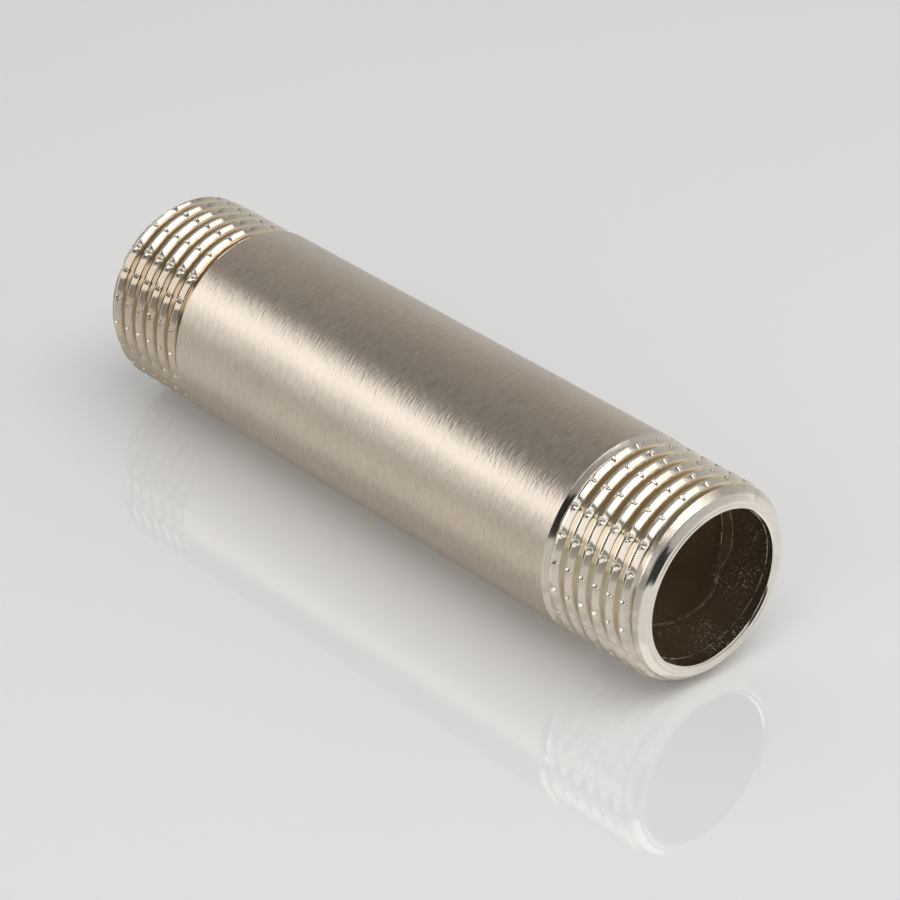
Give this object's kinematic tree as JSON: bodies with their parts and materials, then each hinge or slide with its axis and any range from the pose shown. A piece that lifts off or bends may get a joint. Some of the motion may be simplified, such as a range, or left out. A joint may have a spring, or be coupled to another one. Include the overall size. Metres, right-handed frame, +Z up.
{
  "type": "threaded pipe nipple",
  "caption": "Straight barrel nipple: a plain satin tube with a right-hand outside pipe thread on each end and an open bore, for joining two female fittings.",
  "frame": {"origin": "middle of the axis, halfway between the two end faces", "axes": "+X along the bore to the front end, +Z up as it lies on a table, +Y to the left when looking along +X"},
  "size_m": [0.08, 0.021, 0.021],
  "materials": {
    "satin_nickel": "satin nickel plate on brass, brushed round the tube",
    "bright_nickel": "bright nickel plate on brass, as turned, dull inside the bore"
  },
  "bodies": {
    "root": {"barrel": "satin_nickel", "front_spigot": "bright_nickel", "rear_spigot": "bright_nickel", "front_thread": "bright_nickel", "rear_thread": "bright_nickel"}
  },
  "joints": []
}
